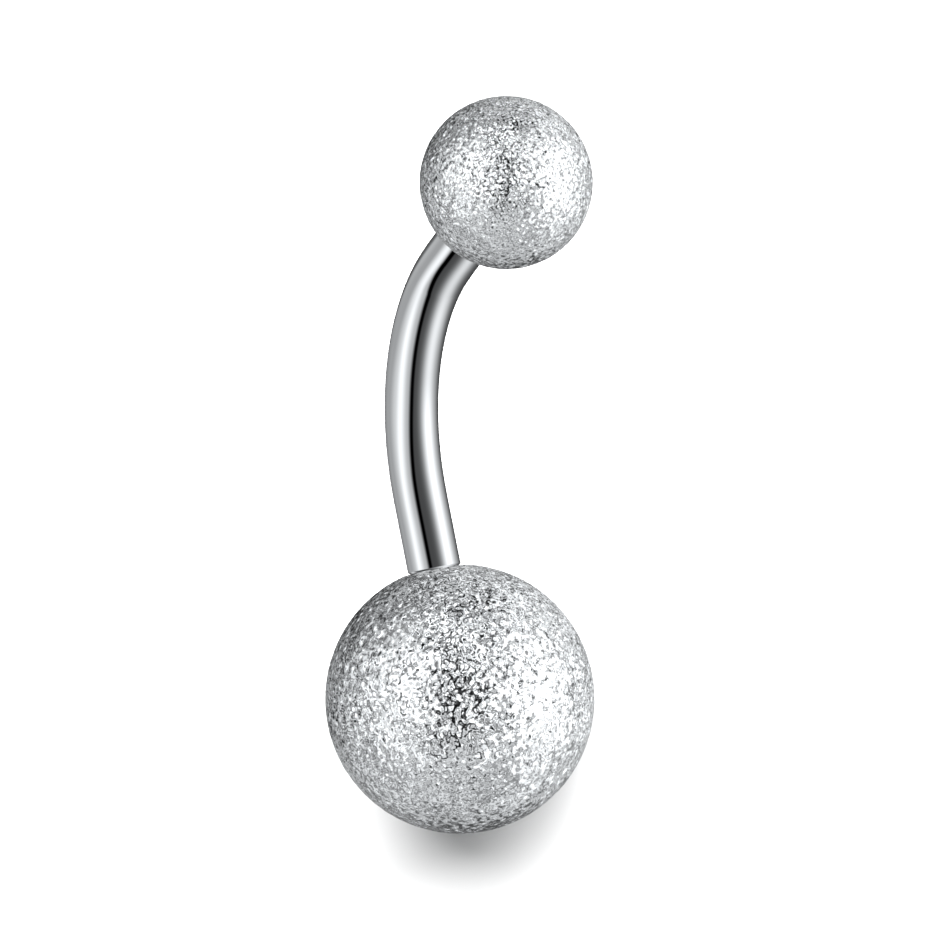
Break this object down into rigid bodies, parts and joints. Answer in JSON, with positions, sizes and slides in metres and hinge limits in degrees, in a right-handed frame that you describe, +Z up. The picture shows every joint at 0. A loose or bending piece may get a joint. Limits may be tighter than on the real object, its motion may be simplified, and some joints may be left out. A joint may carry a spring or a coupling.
{
  "type": "navel ring",
  "caption": "Curved barbell navel ring: polished round bar with a small frosted ball that unscrews and a large frosted ball.",
  "frame": {"origin": "on the floor, under the middle of the box round the ring as it lies on its side", "axes": "+Z up; +X along the ring from the large lower ball to the small upper ball; the outside of the bend points to +Y and down"},
  "size_m": [0.0232, 0.0082, 0.008],
  "materials": {
    "polished_steel": "mirror polished surgical steel",
    "frosted_steel": "frosted, coarse sparkling grain"
  },
  "bodies": {
    "bar": {"bar": "polished_steel", "lower_ball": "frosted_steel"},
    "upper_ball": {"upper_ball": "frosted_steel"}
  },
  "joints": [
    {"name": "upper_ball_off", "type": "slide", "parent": "bar", "child": "upper_ball", "axis": [0.8261, -0.4944, 0.2704], "range_m": [0, 0.003]}
  ]
}
